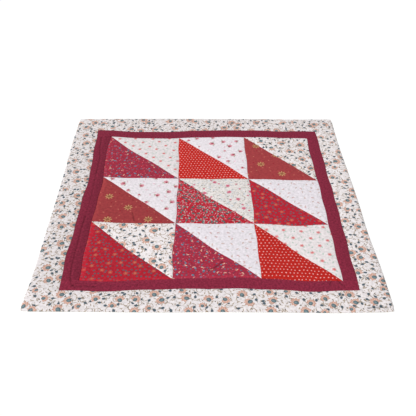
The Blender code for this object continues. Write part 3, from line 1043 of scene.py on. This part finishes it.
def border_floral(cloth):
    """Peach flowers with slate hearts, and slate buds on tan stems, on off-white."""
    cloth.dyed((230, 223, 224), (240, 234, 235), 0.009)
    cloth.strew(leaf, (5.0, 1.0), (208, 198, 190), ((12, 10), 0.95, (6, 9)), 0.7)
    cloth.strew(bow, (8.6, 0.8), (154, 136, 112), ((19, 16), 0.95, (2, 2)), 0.85)
    cloth.strew(leaf, (4.8, 1.2), (164, 146, 122), ((13, 11), 0.95, (11, 4)), 0.6)
    cloth.strew(leaf, (3.6, 1.3), (122, 108, 92), ((17, 15), 0.95, (5, 1)), 0.6)
    graph = cloth.graph
    free = cloth.strewn((53, 45), 0.85, (12, 7), place=bent(graph, cloth.place, 0.013, 0.008))
    flowers, near = cloth.charted_or(free)
    clear = graph.minus(1.0, graph.times(oval(flowers, 13.5, 13.5, 0.8), near))
    buds = cloth.strewn((25, 22), 0.9, (4, 11))
    cloth.stamp(leaf(moved(buds, -5.0, 0.0), 5.6, 1.2), (136, 130, 118), buds, 0.9, within=clear)
    cloth.stamp(oval(buds, 4.6, 3.6, 0.8), (84, 98, 108), buds, 0.9, within=clear)
    open_to = graph.maths("MULTIPLY_ADD", flowers.chance, 0.026, -0.006)
    side = graph.times(graph.ranged(graph.plus(flowers.x, open_to), -0.0015, 0.0015), near)
    cloth.stamp(petals(flowers, 14.4, 10, 0.26, 1.1), (206, 157, 138), within=side)
    cloth.stamp(petals(flowers, 10.8, 10, 0.5, 1.2), (232, 208, 196), within=graph.times(side, 0.6))
    hearts = moved(flowers, -2.0, 0.6)
    cloth.stamp(oval(hearts, 6.9, 5.9, 1.0), (86, 106, 112), within=near)
    cloth.stamp(oval(moved(hearts, 0.8, 0.6), 4.2, 3.0, 1.6), (124, 144, 150), within=near)


def ivory_vine(cloth):
    """Grey-green vines and pink flowers on ivory."""
    cloth.dyed((218, 212, 208), (240, 234, 231), 0.005)
    cloth.strew(oval, (5.0, 2.6, 1.4), (204, 212, 220), ((24, 20), 0.9, (7, 4)), 0.6)
    cloth.strew(bow, (4.0, 0.9), (182, 176, 164), ((12, 11), 0.9, (2, 2)), 0.8)
    cloth.strew(leaf, (3.0, 1.4), (190, 196, 202), ((10, 9), 0.9, (7, 4)), 0.55)
    cloth.strew(leaf, (4.4, 1.2), (154, 146, 134), ((19, 16), 0.95, (9, 1)), 0.6)
    buds = cloth.rows((40, 34), 0.8, (12, 20))
    cloth.stamp(petals(buds, 4.0, 5, 0.2, 0.8), (208, 130, 146), buds, 0.7)
    flowers = cloth.strewn((58, 44), 0.6, (30, 0))
    cloth.stamp(petals(flowers, 7.2, 5, 0.2, 1.1), (216, 142, 158))
    cloth.stamp(oval(flowers, 4.4, 3.2, 1.2), (202, 98, 122))


def lilac_sprig(cloth):
    """Tiny beige and pink sprigs on lilac white."""
    cloth.dyed((224, 218, 224), (237, 231, 237), 0.010)
    cloth.strew(leaf, (3.8, 1.5, 0.8), (210, 213, 211), ((20, 17), 0.8, (14, 2)), 0.7)
    sprigs = cloth.strewn((27, 23), 0.6, (3, 6))
    cloth.stamp(leaf(sprigs, 5.4, 2.2, 0.8), (206, 184, 178))
    buds = moved(sprigs, 3.0, 2.4)
    cloth.stamp(oval(buds, 2.4, 1.9), (214, 172, 180), sprigs, 0.6)


def maroon_plain(cloth):
    """A plain maroon."""
    cloth.dyed((90, 12, 36), (158, 48, 74), 0.005)


PRINTS = (
    burgundy_floral, red_pin_dot, rust_star_flower, red_leaf,
    crimson_dot, ivory_floret, white_rosebud, border_floral,
    ivory_vine, lilac_sprig, maroon_plain,
)


def declared(cloth_piece, piece):
    """Hangs a piece under the root body and hides the part of the frame that it replaces."""
    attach(cloth_piece, "root")
    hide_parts(piece.name)


def topper():
    """All the cut pieces, each in its cotton."""
    cottons = {printed.__name__: cotton(f"{printed.__name__}_cotton", printed) for printed in PRINTS}
    pieces = block_pieces()
    pieces += border_pieces("inner_border", "maroon_plain", OUTER_CELLS, INNER_CELLS)
    pieces += border_pieces("outer_border", "border_floral", 0, OUTER_CELLS)
    for piece in pieces:
        cloth_piece = quilted_piece(piece)
        cloth_piece.data.materials.append(cottons[piece.fabric])
        declared(cloth_piece, piece)


# The camera, as worked out from the photo's four corners, and the studio
CAMERA_AT = (0.0055, -1.4059, 1.0926)
CAMERA_DOWN = math.radians(38.97)
SENSOR = 36.0
LENS = 50.53
NEAREST_SEEN = 0.05
FARTHEST_SEEN = 50.0
FLOOR_SIZE = 14.0
FLOOR_DROP = 0.0003
FLOOR_COLOUR = (0.97, 0.97, 0.97, 1.0)
SKY = 0.44
KEY = 2.52
KEY_ANGLE = math.radians(20)
KEY_TURN = (math.radians(14), math.radians(-36), 0.0)


def studio():
    """A pale floor under an even sky and one wide soft lamp."""
    mesh = bpy.data.meshes.new("floor")
    half = FLOOR_SIZE / 2
    corners = [(-half, -half, -FLOOR_DROP), (half, -half, -FLOOR_DROP),
               (half, half, -FLOOR_DROP), (-half, half, -FLOOR_DROP)]
    mesh.from_pydata(corners, [], [(0, 1, 2, 3)])
    floor = bpy.data.objects.new("floor", mesh)
    bpy.context.scene.collection.objects.link(floor)
    paint = bpy.data.materials.new("floor_paint")
    paint.use_nodes = True
    shader = paint.node_tree.nodes["Principled BSDF"]
    shader.inputs["Base Color"].default_value = FLOOR_COLOUR
    shader.inputs["Roughness"].default_value = 1.0
    shader.inputs["Specular IOR Level"].default_value = 0.0
    mesh.materials.append(paint)

    world = bpy.data.worlds.new("sky")
    world.use_nodes = True
    sky = world.node_tree.nodes["Background"]
    sky.inputs["Color"].default_value = (1.0, 1.0, 1.0, 1.0)
    sky.inputs["Strength"].default_value = SKY
    bpy.context.scene.world = world

    lamp = bpy.data.lights.new("key", "SUN")
    lamp.energy = KEY
    lamp.angle = KEY_ANGLE
    key = bpy.data.objects.new("key", lamp)
    key.rotation_euler = KEY_TURN
    bpy.context.scene.collection.objects.link(key)


def camera():
    """The photo's view."""
    lens = bpy.data.cameras.new("camera")
    lens.sensor_width = SENSOR
    lens.lens = LENS
    lens.clip_start = NEAREST_SEEN
    lens.clip_end = FARTHEST_SEEN
    eye = bpy.data.objects.new("camera", lens)
    eye.location = CAMERA_AT
    eye.rotation_euler = (math.pi / 2 - CAMERA_DOWN, 0.0, 0.0)
    bpy.context.scene.collection.objects.link(eye)
    bpy.context.scene.camera = eye


topper()
studio()
camera()
bpy.context.scene.view_settings.view_transform = "Standard"
